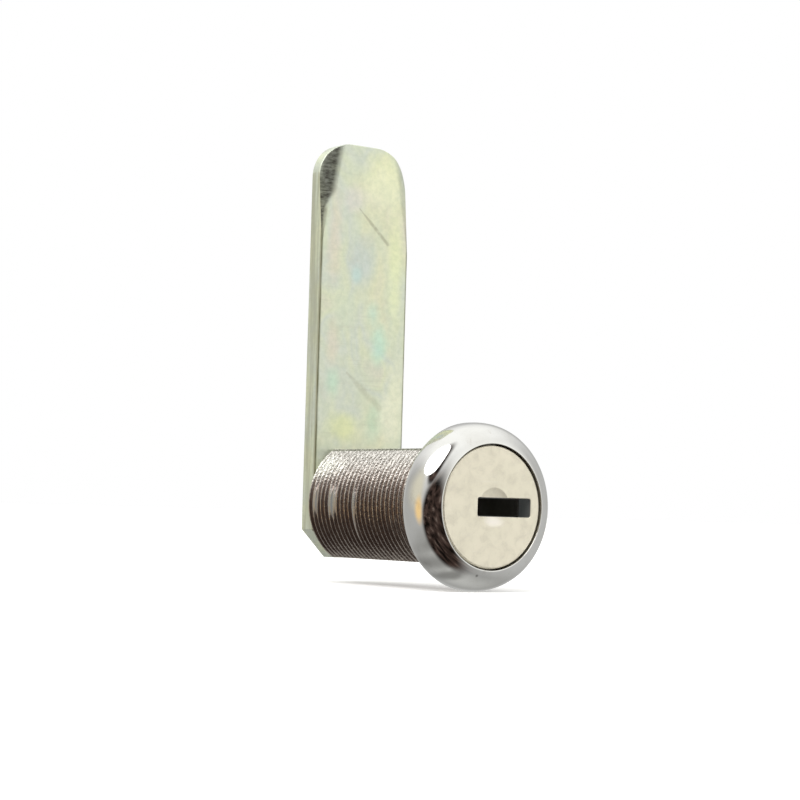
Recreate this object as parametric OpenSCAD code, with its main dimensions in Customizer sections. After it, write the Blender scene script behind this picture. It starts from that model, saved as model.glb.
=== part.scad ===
// Cam lock: threaded barrel with two flats, wafer plug, square-tailed straight cam.
//
// The lock's axis is Y. The origin is on the axis, in the plane of the head's back face,
// which seats on the panel. The key face looks to -Y, the barrel runs to +Y and the cam
// points up to +Z. In the rest position the wafers are at the shear line, as a key holds
// them, so the plug is free to turn.

/* [Head] */
// Diameter of the domed head
head_d = 23.5; // [22.8:0.1:26]
// Height of the head in front of the panel
head_h = 5.25; // [5:0.05:6]
// Straight part of the head's side, before the dome starts
head_side = 1; // [0.4:0.1:1.5]
// Diameter of the opening around the plug's face
hole_d = 17.5; // [17.1:0.1:18.2]

/* [Barrel] */
// Outside diameter of the thread
thread_d = 19; // [18.8:0.1:20]
// Pitch of the thread
pitch = 1; // [0.9:0.05:1.2]
// Length of the barrel behind the head
barrel_len = 27; // [26.5:0.5:32]
// Distance across the two flats
across_flats = 16; // [15.9:0.1:17]

/* [Plug] */
// Diameter of the plug's body
plug_d = 13.3; // [13.2:0.02:13.36]
// Diameter of the plug's face
face_d = 16.7; // [16.2:0.1:17]
// Width of the key slot at the face
slot_w = 9.4; // [9:0.1:9.6]
// Height of the key slot at the face
slot_h = 2.65; // [2.5:0.05:2.8]
// Distance from the axis to the middle of the key slot
slot_x = 2.2; // [2.1:0.05:2.3]
// Side of the plug's square tail
tail_w = 7; // [6.6:0.1:7.2]

/* [Wafers] */
// Number of tumbler wafers
wafer_n = 7; // [5:1:7]
// Distance from one wafer to the next
wafer_pitch = 2.3; // [2.2:0.05:2.35]
// Thickness of a wafer
wafer_t = 1; // [0.8:0.05:1.02]
// Travel of a wafer past the shear line
wafer_lift = 0.6; // [0.3:0.05:0.6]

/* [Cam] */
// Width of the cam
cam_w = 16; // [14:0.5:18]
// Thickness of the cam
cam_t = 3; // [2:0.1:3.5]
// Distance from the lock's axis to the cam's tip
cam_len = 54.2; // [46:0.1:60]
// Radius of the tip's corners
tip_r = 5; // [2:0.5:7]

/* [Fixing] */
// Thread diameter of the cam screw
screw_d = 5; // [4:0.5:5]
// Distance across the flats of the screw's head
hex_w = 8; // [7:0.5:8]
// Height of the screw's head
hex_h = 3.5; // [2.8:0.1:4]

/* [Hidden] */
$fn = 96;

// clearances
run_gap = 0.05;      // radial gap between the plug's body and the housing's bore
slide_gap = 0.06;    // gap at each side of a wafer in its slot
end_gap = 0.1;       // gap between the cam and the end of the barrel
over = 1;            // how far a cut runs past the surface that it opens

// head
head_r = head_d / 2;
hole_r = hole_d / 2;
lip_r = 0.12;                         // rounding of the opening's edge
dome_lean = 14;                       // how far the dome already leans out beside the opening
dome_reach = [1.8, 2.9];              // how far it keeps its direction at the lip and at the side
seat_y = -2.4;                        // floor of the head's opening

// barrel
thread_r = thread_d / 2;
thread_depth = 0.6 * pitch;
root_r = thread_r - thread_depth;
thread_y0 = 0.5;                      // where the first groove starts
thread_n = floor((barrel_len - 1.2) / pitch);
bore_r = plug_d / 2 + run_gap;
groove_r = bore_r + wafer_lift;       // how far out the locking grooves reach
groove_half = 4.15;                   // half width of a locking groove
groove_y0 = 1;

// plug
plug_r = plug_d / 2;
face_r = face_d / 2;
face_y = -5.05;                       // plane of the plug's face
flange_y1 = seat_y - run_gap;         // back of the plug's flange
face_round = 0.3;
dimple_r = 2.8;
dimple_depth = 0.3;
dimple_x = 0.4;                      // the punch mark is a little off the axis
slot_corner = 0.25;
keyway_x0 = slot_x - slot_w / 2 + 0.2;
keyway_h = slot_h - 0.2;
keyway_y1 = 17.6;
stop_t = 1.5;                         // thickness of the stop washer
cam_y0 = barrel_len + end_gap;        // front face of the cam
cam_y1 = cam_y0 + cam_t;
shoulder_y = cam_y0 - stop_t;         // where the plug's body ends and its tail starts
tail_y1 = cam_y1 - 0.2;
tail_chamfer = 0.6;

// wafers
wafer_y0 = 2.6;                       // middle of the first wafer
wafer_half = 3.9;                     // half width of a wafer
wafer_r = plug_r - run_gap;           // the ends follow the plug's surface
window_h = keyway_h + 0.2;
bitting = [1, 3, 0, 2, 4, 1, 3];      // depth step of each wafer's key window
bitting_step = 0.3;
lug_x = 0.9;                          // spring side of the wafer's lug
lug_w = 1;
lug_h = 1.4;
pocket_x0 = -2.7;                     // end of the spring's pocket in the plug
spring_z = wafer_half + lug_h / 2 + 0.05;

// retaining wafer, which keeps the plug in the housing
keeper_y = 19.6;
keeper_half = 3.5;
keeper_out = 0.55;                    // how far it stands into the housing's ring groove
keeper_x1 = 1;
keeper_travel = 0.65;
keeper_bore = 1.1;
keeper_bore_x1 = 5.3;

// springs: [coil's mean radius, wire radius, turns]
wafer_coil = [0.4, 0.09, 8];
keeper_coil = [0.82, 0.15, 7];
coil_sides = 6;
coil_steps = 10;                      // rings of points in one turn

// stop washer
lug_angle = 8;                        // half of the angle that its lug takes
lug_r = groove_r - 0.05;
stop_play = 0.7;                      // free angle at each end of the turn
turn_angle = 90;

// cam and its fixing
cam_half = cam_w / 2;
lead_z = 38;                          // above this the lead-ins start
cam_foot = 8.1;                       // how far the cam reaches below the axis
cam_foot_half = 3.9;
tail_gap = 0.08;
lead_w = 3.4;                         // width of a lead-in at the tip
lead_depth = 1.5;                     // depth of a lead-in at the tip
screw_r = screw_d / 2;
plain_t = 1;
plain_r = 6;
lock_t = 0.6;
lock_space = 1;
lock_ring_r = 3.9;
lock_r = 4.9;
lock_teeth = 10;
tooth_twist = 12;
plain_y1 = cam_y1 + plain_t;
hex_y0 = plain_y1 + lock_space;
hex_y1 = hex_y0 + hex_h;
screw_len = 10;
screw_pitch = 0.8;
tap_y0 = hex_y0 - screw_len - 0.5;    // bottom of the hole in the plug's tail

// ---- helpers ----

// A flat piece between two planes across the lock's axis; its outline is drawn in X and Z.
module plate(y0, y1) {
    translate([0, y1, 0]) rotate([90, 0, 0]) linear_extrude(y1 - y0) children();
}

// A turned piece; its half section is drawn as [radius, y].
module turned() {
    rotate([-90, 0, 0]) rotate_extrude() children();
}

module rod(r, y0, y1) {
    translate([0, y0, 0]) rotate([-90, 0, 0]) cylinder(r = r, h = y1 - y0);
}

// Vee grooves of a thread, as points of a half section from y0 upwards.
function thread_section(r, depth, step, count, y0) = [
    for (i = [0:count - 1])
        for (p = [[r, 0.06], [r - depth, 0.42], [r - depth, 0.58], [r, 0.94]])
            [p[0], y0 + (i + p[1]) * step]];

// A pie slice from angle a0 to a1, each under 180 degrees apart.
module slice(r, a0, a1) {
    far = 2 * r;
    mid = (a0 + a1) / 2;
    intersection() {
        circle(r);
        polygon([[0, 0], for (a = [a0, mid, a1]) far * [cos(a), sin(a)]]);
    }
}

// A coil spring along X; coil is [mean radius, wire radius, turns].
module spring(x0, x1, y, z, coil) {
    rings = coil[2] * coil_steps;
    lead = x1 - x0 - 2 * coil[1];
    function point(i, j) =
        let (a = 360 * i / coil_steps,
             s = 360 * j / coil_sides,
             r = coil[0] + coil[1] * cos(s))
        [x0 + coil[1] + lead * i / rings + coil[1] * sin(s), y + r * cos(a), z + r * sin(a)];
    points = [for (i = [0:rings]) for (j = [0:coil_sides - 1]) point(i, j)];
    walls = [for (i = [0:rings - 1]) for (j = [0:coil_sides - 1])
        let (k = (j + 1) % coil_sides, a = i * coil_sides, b = a + coil_sides)
        [a + j, a + k, b + k, b + j]];
    start = [for (j = [coil_sides - 1:-1:0]) j];
    finish = [for (j = [0:coil_sides - 1]) rings * coil_sides + j];
    polyhedron(points, concat(walls, [start, finish]));
}

// ---- housing ----

// Point on the dome's profile, from the lip at t = 0 to the head's side at t = 1.
function dome(t) =
    let (lip = [hole_r + lip_r, -head_h], side = [head_r, -head_side],
        near_lip = lip + dome_reach[0] * [cos(dome_lean), sin(dome_lean)],
        near_side = side - [0, dome_reach[1]])
    pow(1 - t, 3) * lip + 3 * t * pow(1 - t, 2) * near_lip
        + 3 * t * t * (1 - t) * near_side + pow(t, 3) * side;

// Half section of the head and the threaded barrel, without the bores.
module housing_section() {
    polygon(concat(
        [[0, -head_h + lip_r]],
        [for (a = [0:30:90]) [hole_r + lip_r * (1 - cos(a)), -head_h + lip_r * (1 - sin(a))]],
        [for (i = [1:16]) dome(i / 16)],
        [[head_r, -0.4], [head_r - 0.4, 0], [thread_r, 0]],
        thread_section(thread_r, thread_depth, pitch, thread_n, thread_y0),
        [[thread_r, barrel_len - 0.6], [root_r, barrel_len], [0, barrel_len]]));
}

// Locking groove on the +X side of the bore, open to the rear.
module locking_groove() {
    translate([0, groove_y0, -groove_half])
        cube([groove_r, barrel_len - groove_y0 + over, 2 * groove_half]);
}

module housing() {
    color("gainsboro") difference() {
        turned() housing_section();
        for (side = [-1, 1])
            translate([-head_r, 0, side > 0 ? across_flats / 2 : -head_r - across_flats / 2])
                cube([head_d, barrel_len + over, head_r]);
        rod(hole_r, -head_h - over, seat_y);
        rod(bore_r, seat_y - over, barrel_len + over);
        locking_groove();
        rotate([0, turn_angle, 0]) locking_groove();
        rod(groove_r, keeper_y - wafer_t / 2 - 0.15, keeper_y + wafer_t / 2 + 0.15);
        plate(shoulder_y - 0.1, barrel_len + over)
            slice(groove_r, 180 - turn_angle - lug_angle - stop_play, 180 + lug_angle + stop_play);
    }
}

// ---- plug ----

module plug_section() {
    polygon(concat(
        [[0, face_y]],
        [for (a = [0:15:90]) [face_r - face_round * (1 - sin(a)), face_y + face_round * (1 - cos(a))]],
        [[face_r, flange_y1], [plug_r, flange_y1], [plug_r, shoulder_y - 0.3],
         [plug_r - 0.3, shoulder_y], [0, shoulder_y]]));
}

// Slot and spring channel for one wafer.
module wafer_seat(y) {
    half = wafer_half + slide_gap + 0.02;
    plate(y - wafer_t / 2 - slide_gap, y + wafer_t / 2 + slide_gap) {
        translate([-plug_r - over, -half]) square([2 * (plug_r + over), 2 * half]);
        translate([pocket_x0, 0]) square([plug_r + over - pocket_x0, wafer_half + lug_h + 0.15]);
    }
}

module key_slot_outline() {
    hull()
        for (x = [-1, 1], z = [-1, 1])
            translate([slot_x + x * (slot_w / 2 - slot_corner), z * (slot_h / 2 - slot_corner)])
                circle(slot_corner, $fn = 32);
}

module keeper_seat() {
    plate(keeper_y - wafer_t / 2 - slide_gap, keeper_y + wafer_t / 2 + slide_gap)
        translate([-plug_r - over, -keeper_half - 0.08])
            square([plug_r + over + keeper_x1 + keeper_travel + 0.1, 2 * keeper_half + 0.16]);
    translate([0, keeper_y, 0]) rotate([0, 90, 0]) cylinder(r = keeper_bore, h = keeper_bore_x1);
}

module plug() {
    tail = tail_w / 2;
    cut = tail - tail_chamfer;
    color("tan") difference() {
        union() {
            turned() plug_section();
            plate(shoulder_y - over, tail_y1)
                polygon([[cut, -tail], [tail, -cut], [tail, cut], [cut, tail],
                         [-cut, tail], [-tail, cut], [-tail, -cut], [-cut, -tail]]);
        }
        translate([dimple_x, face_y - dimple_r * dimple_r / (2 * dimple_depth) + dimple_depth, 0])
            sphere(dimple_r * dimple_r / (2 * dimple_depth) + 0.001);
        plate(face_y - over, flange_y1) key_slot_outline();
        plate(flange_y1 - 0.01, keyway_y1)
            translate([keyway_x0, -keyway_h / 2]) square([plug_r + over - keyway_x0, keyway_h]);
        for (i = [0:wafer_n - 1]) wafer_seat(wafer_y0 + i * wafer_pitch);
        keeper_seat();
        rod(screw_r, tap_y0, tail_y1 + over);
    }
}

// ---- wafers and springs ----

module wafer(i) {
    y = wafer_y0 + (i - 1) * wafer_pitch;
    web_x = keyway_x0 + 0.1 + bitting[i - 1] * bitting_step;
    color("goldenrod") plate(y - wafer_t / 2, y + wafer_t / 2) difference() {
        union() {
            intersection() {
                circle(wafer_r);
                square([2 * plug_r, 2 * wafer_half], center = true);
            }
            translate([lug_x, 0]) square([lug_w, wafer_half + lug_h]);
        }
        translate([web_x, -window_h / 2]) square([2 * plug_r, window_h]);
    }
}

module wafer_spring(i) {
    color("silver") spring(pocket_x0 + 0.03, lug_x - 0.03,
        wafer_y0 + (i - 1) * wafer_pitch, spring_z, wafer_coil);
}

module retaining_wafer() {
    tip_r = plug_r + keeper_out;
    color("goldenrod") plate(keeper_y - wafer_t / 2, keeper_y + wafer_t / 2) intersection() {
        circle(tip_r);
        translate([-tip_r - over, -keeper_half])
            square([tip_r + over + keeper_x1, 2 * keeper_half]);
    }
}

module retaining_spring() {
    color("silver") spring(keeper_x1 + 0.03, keeper_bore_x1 - 0.03, keeper_y, 0, keeper_coil);
}

// ---- rear parts ----

module stop_washer() {
    color("dimgray") plate(shoulder_y, cam_y0) difference() {
        union() {
            circle(bore_r - 0.15);
            slice(lug_r, 180 - lug_angle, 180 + lug_angle);
        }
        square(tail_w + tail_gap, center = true);
    }
}

// Half of the cam's outline, from the foot up to the tip, on the +X side.
function cam_side() = concat(
    [[cam_foot_half, -cam_foot], [cam_half, -cam_foot + cam_half - cam_foot_half]],
    [for (a = [0:10:90])
        [cam_half - tip_r * (1 - cos(a)), cam_len - tip_r * (1 - sin(a))]]);

// Wedge that takes the lead-in off the front edge on the +X side.
module lead_in() {
    rise = cam_len - lead_z;
    run = atan(lead_w / rise);
    depth_angle = atan(lead_depth / (lead_w * cos(run)));
    translate([cam_half, cam_y0, lead_z]) rotate([0, -run, 0]) rotate([0, 0, depth_angle])
        translate([-over, -cam_t, -cam_t]) cube([cam_w, cam_t, 2 * rise]);
}

module cam() {
    side = cam_side();
    color("khaki") difference() {
        plate(cam_y0, cam_y1) difference() {
            polygon(concat(side, [for (i = [len(side) - 1:-1:0]) [-side[i][0], side[i][1]]]));
            square(tail_w + 2 * tail_gap, center = true);
        }
        lead_in();
        mirror([1, 0, 0]) lead_in();
    }
}

module plain_washer() {
    color("silver") plate(cam_y1, plain_y1) difference() {
        circle(plain_r);
        circle(screw_r + 0.15);
    }
}

module lock_washer() {
    y = plain_y1 + lock_space / 2;
    tooth_w = 1.4;
    tooth_l = lock_r - lock_ring_r + 0.5;
    color("silver") difference() {
        union() {
            rod(lock_ring_r, y - lock_t / 2, y + lock_t / 2);
            for (i = [0:lock_teeth - 1])
                translate([0, y, 0]) rotate([0, i * 360 / lock_teeth, 0]) rotate([tooth_twist, 0, 0])
                    translate([lock_r - tooth_l, -lock_t / 2, -tooth_w / 2])
                        cube([tooth_l, lock_t, tooth_w]);
        }
        rod(screw_r + 0.15, y - lock_t, y + lock_t);
    }
}

module cam_screw() {
    hex_r = hex_w / 2 / cos(30);
    thread_y1 = hex_y0 - screw_len;
    turns = floor((screw_len - 2) / screw_pitch);
    color("silver") {
        intersection() {
            plate(hex_y0, hex_y1) circle(hex_r, $fn = 6);
            turned() polygon([[0, hex_y0], [hex_r + 0.1, hex_y0], [hex_r + 0.1, hex_y1 - 0.6],
                              [hex_w / 2 - 0.3, hex_y1], [0, hex_y1]]);
        }
        turned() polygon(concat(
            [[0, thread_y1], [screw_r - 0.6, thread_y1]],
            thread_section(screw_r - 0.05, 0.4, screw_pitch, turns, thread_y1 + 0.5),
            [[screw_r - 0.05, hex_y0], [0, hex_y0]]));
    }
}

housing();
plug();
for (i = [1:wafer_n]) {
    wafer(i);
    wafer_spring(i);
}
retaining_wafer();
retaining_spring();
stop_washer();
cam();
plain_washer();
lock_washer();
cam_screw();
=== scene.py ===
"""Cam lock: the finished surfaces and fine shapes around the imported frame.

The lock's axis is Y. The key face looks to -Y, the barrel runs to +Y and the cam points to +Z.
Sizes here are in millimetres, in the frame's own axes, and turn into metres where a mesh is made.
"""
import math
import bmesh
import bpy
from mathutils import Matrix, Vector, noise


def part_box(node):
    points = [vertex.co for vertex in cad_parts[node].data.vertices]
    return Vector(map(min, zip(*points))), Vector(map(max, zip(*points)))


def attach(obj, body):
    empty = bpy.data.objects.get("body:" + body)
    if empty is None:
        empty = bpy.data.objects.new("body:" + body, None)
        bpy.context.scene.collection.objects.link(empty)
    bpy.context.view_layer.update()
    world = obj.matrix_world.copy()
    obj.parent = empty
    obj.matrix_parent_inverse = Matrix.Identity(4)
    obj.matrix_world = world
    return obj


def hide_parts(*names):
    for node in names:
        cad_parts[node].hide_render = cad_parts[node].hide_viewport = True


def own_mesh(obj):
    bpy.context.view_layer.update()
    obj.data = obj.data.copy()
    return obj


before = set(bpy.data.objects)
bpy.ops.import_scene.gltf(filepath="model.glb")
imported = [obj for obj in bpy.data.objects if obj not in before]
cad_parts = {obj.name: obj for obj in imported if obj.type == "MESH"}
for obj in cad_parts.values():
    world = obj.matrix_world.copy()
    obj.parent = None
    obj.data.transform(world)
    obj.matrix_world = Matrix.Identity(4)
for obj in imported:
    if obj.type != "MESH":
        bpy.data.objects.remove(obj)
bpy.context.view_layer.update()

MM = 0.001


def box_mm(node):
    """The lowest and highest corners of a node of the frame, in millimetres."""
    low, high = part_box(node)
    return Vector(low) / MM, Vector(high) / MM


def mm(*sizes):
    """Sizes in millimetres, in metres."""
    return tuple(size * MM for size in sizes)


# ---- sizes, in millimetres ----

HOUSING_LOW, HOUSING_HIGH = box_mm("housing")
PLUG_LOW, PLUG_HIGH = box_mm("plug")
CAM_LOW, CAM_HIGH = box_mm("cam")
WAFER_NAMES = sorted(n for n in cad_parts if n.startswith("wafer_") and "spring" not in n)
WAFER_BOXES = [box_mm(n) for n in WAFER_NAMES]
KEEPER_LOW, KEEPER_HIGH = box_mm("retaining_wafer")

HEAD_R = HOUSING_HIGH.x           # the domed head
HEAD_H = -HOUSING_LOW.y
HEAD_SIDE = 1.0                   # straight part of its side
HEAD_BACK_EDGE = 0.4              # softened edge at its back
HOLE_R = 8.75                     # opening around the plug's face
LIP_R = 0.06                      # rounding of the opening's edge
DOME_LEAN = math.radians(14)      # how far the dome already leans out beside the opening
DOME_REACH = (1.8, 2.9)           # how far it keeps its direction at the lip and at the side
DOME_STEPS = 34
SEAT_Y = -2.4                     # floor of the opening

BARREL_END = HOUSING_HIGH.y
THREAD_R = 9.5
ROOT_R = 8.9
PITCH = 1.0
FLAT_Z = 8.0                      # the barrel's two flats
FLAT_CORNERS = (57.0, 116.0, 237.0, 296.0)  # degrees; the flats break the thread in the next 7
THREAD_STEPS = 12                 # rows of the mesh in one pitch
NECK_Y = 0.15                     # the thread starts to rise here
BORE_R = 6.7
GROOVE_R = 7.3                    # locking grooves for the wafers
GROOVE_HALF = 4.15
GROOVE_Y = 1.0
GROOVE_ANGLES = (0.0, 270.0)
RING_Y = (KEEPER_LOW.y + KEEPER_HIGH.y) / 2
RING_HALF = 0.65                  # ring groove for the retaining wafer
STOP_ANGLES = (81.3, 188.7)       # recess for the stop washer's lug
STOP_Y = 25.5

FACE_Y = PLUG_LOW.y
FACE_R = PLUG_HIGH.x + 0.16        # the plated rim fills most of the gap in the head
FACE_ROUND = 0.26
FLANGE_BACK = -2.45
PLUG_R = 6.65
PLUG_STEPS = 144
SHOULDER_Y = 25.6
SHOULDER_CHAMFER = 0.3
DIMPLE_R = 2.8
DIMPLE_DEPTH = 0.42
DIMPLE_X = 0.4
SLOT_W = 9.4
SLOT_H = 2.65
SLOT_X = 2.2
SLOT_CORNER = 0.3
SLOT_BREAK = 0.07                 # broken edge at the mouth of the slot
CUT_OVER = 0.5                    # overlap of a cutter or a joined piece past a surface
KEYWAY_X0 = -2.3
KEYWAY_H = 2.45
KEYWAY_END = 17.6
SLIDE_GAP = 0.06                  # play at each side of a wafer in its seat
SEAT_HEADROOM = 0.15
POCKET_X = -2.7                   # the spring's pocket over a wafer ends here
KEEPER_ROOM = (0.75, 0.08)        # room for the retaining wafer towards +X and along Z
TAIL_HALF = 3.5
TAIL_CHAMFER = 0.6
TAIL_BREAK = 0.25                 # broken edges at the tail's end
TAIL_STEPS = 48
TAP_R = 2.5
TAP_Y = 21.6

CAM_HALF = CAM_HIGH.x
CAM_TIP_R = (5.2, 6.5)            # corners of the tip at -X and at +X
LEAD_Z = 38.0                     # the lead-ins start here and widen to the tip
LEAD_STEPS = [                    # height, width of the pressed lead-in at -X
    (38.0, 0.0), (42.0, 0.55), (44.2, 0.95), (46.4, 2.5), (50.4, 3.2), (54.2, 4.0)]
CAM_FOOT_HALF = 3.9
CAM_HOLE_HALF = 3.58
LEAD_W = 3.4                      # the softer one at +X, at the tip
LEAD_DEPTH = 1.5
DIE_ROLL = 0.18                   # rounded front edge left by stamping
BACK_BURR = 0.06
CAM_WAVE = 0.012                  # unevenness of the rolled strip


# ---- mesh helpers ----

def shade(bm, angle=32):
    """Smooth faces, with the edges sharper than the angle kept crisp."""
    limit = math.radians(angle)
    for face in bm.faces:
        face.smooth = True
    for edge in bm.edges:
        edge.smooth = len(edge.link_faces) == 2 and edge.calc_face_angle(0.0) < limit


def link(thing):
    """Puts an object into the scene and gives it back."""
    bpy.context.scene.collection.objects.link(thing)
    return thing


def to_object(name, bm, materials):
    """A piece from a bmesh in millimetres, with its finishes."""
    bmesh.ops.recalc_face_normals(bm, faces=bm.faces)
    bmesh.ops.scale(bm, vec=(MM, MM, MM), verts=bm.verts)
    mesh = bpy.data.meshes.new(name)
    bm.to_mesh(mesh)
    bm.free()
    piece = link(bpy.data.objects.new(name, mesh))
    for material in materials:
        mesh.materials.append(material)
    return piece


def keep_flats(piece):
    """Leaves large flat faces flat beside their rounded edges."""
    modifier = piece.modifiers.new("flat_faces", "WEIGHTED_NORMAL")
    modifier.keep_sharp = True


def place(piece, body, nodes):
    """Rides a piece on its body in place of the frame's plain nodes."""
    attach(piece, body)
    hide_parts(*nodes)


def arc(steps):
    """Angles of a quarter turn, both ends included."""
    return [math.pi / 2 * i / steps for i in range(steps + 1)]


def rounded_rectangle(cx, half_w, half_h, radius, steps=5):
    """Points of a rounded rectangle in X and Z, counter-clockwise."""
    points = []
    for turn, (sx, sz) in enumerate(((1, 1), (-1, 1), (-1, -1), (1, -1))):
        for a in arc(steps):
            angle = a + turn * math.pi / 2
            points.append((cx + sx * (half_w - radius) + radius * math.cos(angle),
                           sz * (half_h - radius) + radius * math.sin(angle)))
    return points


def loft(bm, rings):
    """Closed skin over rings of the same number of points, capped at both ends."""
    loops = [[bm.verts.new(p) for p in ring] for ring in rings]
    count = len(loops[0])
    for a, b in zip(loops, loops[1:]):
        for i in range(count):
            j = (i + 1) % count
            bm.faces.new((a[i], a[j], b[j], b[i]))
    bm.faces.new(loops[0][::-1])
    bm.faces.new(loops[-1])


def add_box(bm, low, high):
    """A box between two corners."""
    ring = [(low[0], low[2]), (high[0], low[2]), (high[0], high[2]), (low[0], high[2])]
    loft(bm, [[(x, y, z) for x, z in ring] for y in (low[1], high[1])])


def turned(bm, section, steps):
    """A solid turned about the Y axis from its half section of (radius, y) points."""
    columns = []
    for i in range(steps):
        a = 2 * math.pi * i / steps
        columns.append([bm.verts.new((r * math.cos(a), y, r * math.sin(a))) for r, y in section])
    for a, b in zip(columns, columns[1:] + columns[:1]):
        for i in range(len(section) - 1):
            bm.faces.new((a[i], a[i + 1], b[i + 1], b[i]))
    bmesh.ops.remove_doubles(bm, verts=bm.verts, dist=1e-5)
    bmesh.ops.dissolve_degenerate(bm, edges=bm.edges, dist=1e-5)


def cut(body, cutter):
    """Takes one bmesh out of another, exactly."""
    pieces = []
    for name, bm in (("body", body), ("cutter", cutter)):
        bmesh.ops.recalc_face_normals(bm, faces=bm.faces)
        mesh = bpy.data.meshes.new(name)
        bm.to_mesh(mesh)
        bm.free()
        pieces.append(link(bpy.data.objects.new(name, mesh)))
    modifier = pieces[0].modifiers.new("cut", "BOOLEAN")
    modifier.operation = "DIFFERENCE"
    modifier.solver = "EXACT"
    modifier.use_self = True
    modifier.object = pieces[1]
    bpy.context.view_layer.update()
    result = bmesh.new()
    result.from_object(pieces[0], bpy.context.evaluated_depsgraph_get())
    for piece in pieces:
        mesh = piece.data
        bpy.data.objects.remove(piece)
        bpy.data.meshes.remove(mesh)
    return result


# ---- node helpers ----

class Tree:
    """Short calls for building a shader tree or a node group."""

    def __init__(self, tree):
        self.tree = tree

    def add(self, kind, inputs=None, **settings):
        """A node with its settings, and its inputs given as values or as sockets to link."""
        node = self.tree.nodes.new(kind)
        for name, value in settings.items():
            setattr(node, name, value)
        for key, value in (inputs or {}).items():
            self.feed(node.inputs[key], value)
        return node

    def feed(self, socket, value):
        """Links another socket to this one, or sets its value."""
        if isinstance(value, bpy.types.NodeSocket):
            self.tree.links.new(value, socket)
        else:
            socket.default_value = value

    def math(self, operation, a, b=0.0, clamp=False):
        return self.add("ShaderNodeMath", {0: a, 1: b}, operation=operation,
                        use_clamp=clamp).outputs[0]

    def times(self, a, b, clamp=False):
        return self.math("MULTIPLY", a, b, clamp)

    def plus(self, a, b, clamp=False):
        return self.math("ADD", a, b, clamp)

    def vector(self, operation, a, b=(0, 0, 0)):
        """Outputs of a vector operation: "Vector", and "Value" where it gives a number."""
        return self.add("ShaderNodeVectorMath", {0: a, 1: b}, operation=operation).outputs

    def sized(self, vector, factor):
        return self.add("ShaderNodeVectorMath", {0: vector, "Scale": factor},
                        operation="SCALE").outputs[0]

    def parts(self, vector):
        """The X, Y and Z of a vector."""
        return self.add("ShaderNodeSeparateXYZ", {0: vector}).outputs

    def span(self, value, low, high, to_low=0.0, to_high=1.0):
        """Maps a stretch of values smoothly onto another."""
        ends = {"Value": value, "From Min": low, "From Max": high, "To Min": to_low, "To Max": to_high}
        return self.add("ShaderNodeMapRange", ends, interpolation_type="SMOOTHSTEP").outputs[0]

    def noise(self, vector, scale, detail=2.0, rough=0.5, distortion=0.0):
        return self.add("ShaderNodeTexNoise", {"Vector": vector, "Scale": scale, "Detail": detail,
                        "Roughness": rough, "Distortion": distortion}).outputs["Fac"]

    def mix(self, factor, a, b, blend="MIX"):
        node = self.add("ShaderNodeMix", {"Factor": factor}, data_type="RGBA", blend_type=blend)
        self.feed(node.inputs[6], a)
        self.feed(node.inputs[7], b)
        return node.outputs[2]

    def stretched(self, vector, scale, turn=(0, 0, 0)):
        return self.add("ShaderNodeMapping", {"Vector": vector, "Scale": scale,
                        "Rotation": turn}).outputs[0]

    def ramp(self, factor, stops):
        """A colour ramp from (place, colour) stops."""
        node = self.add("ShaderNodeValToRGB", {"Fac": factor})
        ramp = node.color_ramp
        while len(ramp.elements) < len(stops):
            ramp.elements.new(0.5)
        for element, (where, colour) in zip(ramp.elements, stops):
            element.position = where
            element.color = colour
        return node.outputs[0]


def group(name, inputs, outputs):
    """An empty node group with named sockets; gives its tree and the sockets at both ends."""
    tree = bpy.data.node_groups.new(name, "ShaderNodeTree")
    kinds = {"value": "NodeSocketFloat", "colour": "NodeSocketColor", "vector": "NodeSocketVector"}
    for label, kind, default in inputs:
        socket = tree.interface.new_socket(name=label, in_out="INPUT", socket_type=kinds[kind])
        if default is not None:
            socket.default_value = default
    for label, kind in outputs:
        tree.interface.new_socket(name=label, in_out="OUTPUT", socket_type=kinds[kind])
    given = tree.nodes.new("NodeGroupInput").outputs
    return Tree(tree), given, tree.nodes.new("NodeGroupOutput").inputs


def axis_distance_group():
    """Distance from the lock's axis in millimetres."""
    t, given, out = group("distance_from_axis", [("Position", "vector", None)], [("Radius", "value")])
    x, _, z = t.parts(given["Position"])
    squares = t.plus(t.times(x, x), t.times(z, z))
    t.feed(out["Radius"], t.times(t.math("SQRT", squares), 1 / MM))
    return t.tree


def edge_wear_group():
    """A mask that is 1 on worn edges, broken up by fine noise."""
    t, given, out = group("edge_wear", [("Position", "vector", None), ("Amount", "value", 1.0)],
                          [("Mask", "value")])
    softened = t.add("ShaderNodeBevel", {"Radius": 0.12 * MM}, samples=4).outputs[0]
    facing = t.add("ShaderNodeNewGeometry").outputs["Normal"]
    same = t.vector("DOT_PRODUCT", softened, facing)["Value"]
    edge = t.span(same, 0.80, 0.995, 1.0, 0.0)
    broken = t.span(t.noise(given["Position"], 900, 3), 0.35, 0.65, 0.35, 1.0)
    t.feed(out["Mask"], t.times(t.times(edge, broken), given["Amount"], True))
    return t.tree


def scratch_group():
    """Fine scratches in two directions: a mask and a height."""
    t, given, out = group("fine_scratches", [("Position", "vector", None), ("Scale", "value", 1.0),
                                             ("Cover", "value", 0.5)],
                          [("Mask", "value"), ("Height", "value")])
    sized = t.sized(given["Position"], given["Scale"])
    lines = []
    for turn in ((0.3, 0.9, 0.2), (0.1, -0.7, 1.3)):
        streak = t.noise(t.stretched(sized, (90, 2600, 2600), turn), 1.0, 2)
        patchy = t.span(t.noise(t.stretched(sized, (260, 260, 260), turn), 1.0, 1), 0.42, 0.62)
        lines.append(t.times(t.span(streak, 0.62, 0.70), patchy))
    both = t.math("MAXIMUM", lines[0], lines[1])
    mask = t.times(both, given["Cover"], True)
    t.feed(out["Mask"], mask)
    t.feed(out["Height"], t.times(mask, -1.0))
    return t.tree


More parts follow.
